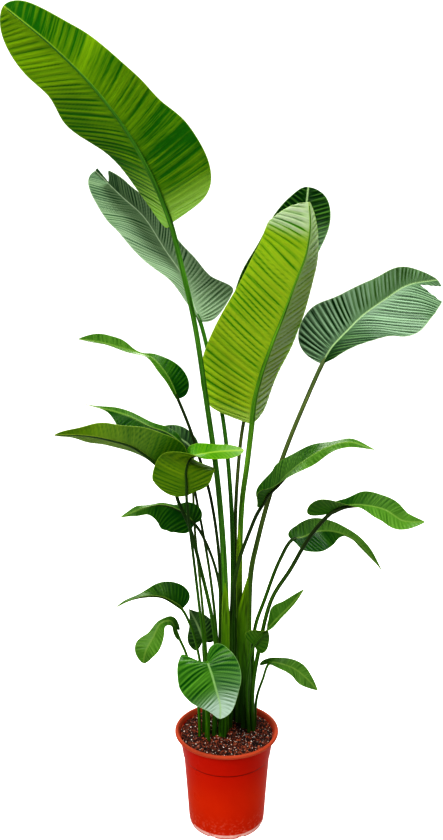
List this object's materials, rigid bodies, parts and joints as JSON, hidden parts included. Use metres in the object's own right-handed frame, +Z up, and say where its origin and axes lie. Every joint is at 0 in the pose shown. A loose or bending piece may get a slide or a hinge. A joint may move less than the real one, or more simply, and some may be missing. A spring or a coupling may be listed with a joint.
{
  "type": "potted bird of paradise",
  "caption": "Tall houseplant with paddle-shaped leaves on long petioles that rise in a fan from potting mix in a tapered, rimmed nursery pot.",
  "frame": {"origin": "centre of the pot's underside, on the surface that the pot stands on", "axes": "+Z up; -Y is the side seen in the picture; +X is to the right there"},
  "size_m": [0.8896, 0.4961, 1.7244],
  "materials": {
    "pot": "satin",
    "soil": "matte",
    "leaf_young": "satin",
    "leaf_grey": "satin",
    "leaf_green": "satin"
  },
  "bodies": {
    "root": {"pot": "pot", "soil": "soil", "leaf_crown_left": "leaf_young", "leaf_crown_back_left": "leaf_grey", "leaf_crown_front": "leaf_young", "leaf_crown_back": "leaf_green", "leaf_crown_right": "leaf_green", "leaf_mid_left_upper": "leaf_green", "leaf_mid_left_back": "leaf_green", "leaf_mid_left_long": "leaf_green", "leaf_mid_left_small": "leaf_green", "leaf_mid_front_folded": "leaf_green", "leaf_mid_left_lower": "leaf_green", "leaf_mid_right_arching": "leaf_green", "leaf_mid_right_twisted": "leaf_green", "leaf_mid_right_drooping": "leaf_green", "leaf_low_left_upper": "leaf_green", "leaf_low_left_drooping": "leaf_green", "leaf_low_back": "leaf_green", "leaf_low_front_heart": "leaf_green", "leaf_low_right_twisted": "leaf_green", "leaf_low_right_drooping": "leaf_green"}
  },
  "joints": []
}
